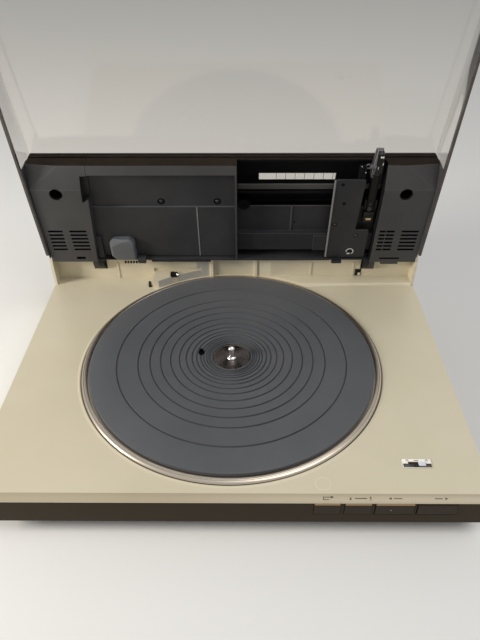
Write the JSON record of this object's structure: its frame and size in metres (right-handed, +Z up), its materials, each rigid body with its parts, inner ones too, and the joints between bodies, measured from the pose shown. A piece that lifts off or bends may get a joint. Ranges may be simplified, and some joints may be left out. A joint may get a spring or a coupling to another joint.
{
  "type": "direct drive turntable",
  "caption": "Flat record player with a clear hinged lid that carries a straight tracking arm, push buttons on the front edge and a speed selector on the deck.",
  "frame": {"origin": "on the table plane under the middle of the cabinet's footprint", "axes": "+X to the right seen from the front, +Y towards the back, +Z up"},
  "size_m": [0.43, 0.35, 0.3924],
  "materials": {
    "champagne_paint": "satin champagne paint on a moulded cabinet",
    "bronze_fascia": "dark bronze satin strip",
    "button_bronze": "dark bronze satin keys",
    "black_plastic": "black moulded plastic",
    "housing_black": "fine grained charcoal moulding",
    "pod_grey": "fine grained dark grey moulding",
    "grey_plastic": "grey moulded plastic",
    "selector_white": "pale glossy knob",
    "clear_cover": "clear acrylic with light scratches",
    "mat_rubber": "slate grey grooved rubber",
    "foot_rubber": "black rubber",
    "cast_aluminium": "turned and polished aluminium",
    "dark_chrome": "polished dark metal",
    "steel": "bright steel",
    "iron_core": "dark grey iron",
    "copper_coils": "enamelled copper windings on a board",
    "circuit_board": "brown circuit board"
  },
  "bodies": {
    "base": {"cabinet": "champagne_paint", "front_fascia": "bronze_fascia", "bottom_pan": "black_plastic", "foot_front_left": "foot_rubber", "foot_front_right": "foot_rubber", "foot_rear_left": "foot_rubber", "foot_rear_right": "foot_rubber", "button_board": "circuit_board", "selector_plate": "black_plastic", "selector_switch": "grey_plastic", "size_sensor": "black_plastic", "wall_clip": "black_plastic", "mains_gland": "foot_rubber", "audio_gland": "foot_rubber", "bearing_housing": "steel", "stator_board": "copper_coils", "power_transformer": "iron_core", "main_board": "circuit_board", "hinge_pin_left": "steel", "hinge_pin_right": "steel"},
    "turning_platter": {"platter": "cast_aluminium", "platter_mat": "mat_rubber", "hub_disc": "dark_chrome", "spindle": "steel", "rotor_magnet": "iron_core"},
    "repeat_key": {"repeat_button": "button_bronze"},
    "cueing_key": {"cueing_button": "button_bronze"},
    "start_key": {"start_button": "button_bronze"},
    "stop_key": {"stop_button": "button_bronze"},
    "speed_knob": {"selector_knob": "selector_white"},
    "lid_switch": {"lid_switch_pin": "black_plastic"},
    "lid": {"lid_cover": "clear_cover", "housing_frame": "housing_black", "left_pod": "pod_grey", "right_pod": "pod_grey", "housing_top_plate": "housing_black", "scale_window": "clear_cover", "left_cover_plate": "housing_black", "sensor_cover": "grey_plastic", "compartment_panel": "housing_black", "guide_rail": "housing_black", "guide_rod": "steel", "tracking_motor": "steel", "drive_belt": "foot_rubber", "hinge_arm_left": "black_plastic", "hinge_arm_right": "black_plastic"},
    "drive_wheel": {"drive_pulley": "grey_plastic"},
    "idler_wheel": {"idler_pulley": "grey_plastic"},
    "carriage": {"carriage_plate": "housing_black", "carriage_slider": "black_plastic"},
    "swing_gimbal": {"arm_gimbal": "steel"},
    "arm": {"tonearm": "black_plastic", "counterweight": "iron_core", "headshell": "pod_grey", "cartridge": "black_plastic", "stylus": "grey_plastic", "fixing_screw": "steel"}
  },
  "joints": [
    {"name": "lid_hinge", "type": "hinge", "parent": "base", "child": "lid", "pos_m": [0, 0.1447, 0.0778], "axis": [1, 0, 0], "range_deg": [0, 80.8]},
    {"name": "platter_spin", "type": "hinge", "parent": "base", "child": "turning_platter", "pos_m": [0, -0.01, 0.05], "axis": [0, 0, -1], "continuous": true},
    {"name": "repeat_press", "type": "slide", "parent": "base", "child": "repeat_key", "axis": [0, 1, 0], "range_m": [0, 0.0012], "stiffness_N_per_m": 300},
    {"name": "cueing_press", "type": "slide", "parent": "base", "child": "cueing_key", "axis": [0, 1, 0], "range_m": [0, 0.0012], "stiffness_N_per_m": 300},
    {"name": "start_press", "type": "slide", "parent": "base", "child": "start_key", "axis": [0, 1, 0], "range_m": [0, 0.0012], "stiffness_N_per_m": 300},
    {"name": "stop_press", "type": "slide", "parent": "base", "child": "stop_key", "axis": [0, 1, 0], "range_m": [0, 0.0012], "stiffness_N_per_m": 300},
    {"name": "speed_select", "type": "slide", "parent": "base", "child": "speed_knob", "axis": [1, 0, 0], "range_m": [-0.0084, 0]},
    {"name": "lid_switch_press", "type": "slide", "parent": "base", "child": "lid_switch", "axis": [0, 0, -1], "range_m": [0, 0.002], "stiffness_N_per_m": 200},
    {"name": "carriage_slide", "type": "slide", "parent": "lid", "child": "carriage", "axis": [1, 0, 0], "range_m": [-0.092, 0]},
    {"name": "drive_wheel_spin", "type": "hinge", "parent": "lid", "child": "drive_wheel", "pos_m": [0.0124, 0.1332, 0.16275], "axis": [0, 0.9872, 0.1595], "continuous": true},
    {"name": "idler_wheel_spin", "type": "hinge", "parent": "lid", "child": "idler_wheel", "pos_m": [0.1495, 0.1332, 0.16275], "axis": [0, 0.9872, 0.1595], "continuous": true},
    {"name": "arm_swing", "type": "hinge", "parent": "carriage", "child": "swing_gimbal", "pos_m": [0.149, 0.12086, 0.16076], "axis": [0, 0.9872, 0.1595], "range_deg": [-2, 2]},
    {"name": "arm_lift", "type": "hinge", "parent": "swing_gimbal", "child": "arm", "pos_m": [0.149, 0.12086, 0.16076], "axis": [1, 0, 0], "range_deg": [0, 3]}
  ],
  "couplings": [
    {"joint": "drive_wheel_spin", "follows": "carriage_slide", "rad_per_m": 192.3},
    {"joint": "idler_wheel_spin", "follows": "carriage_slide", "rad_per_m": 192.3}
  ]
}
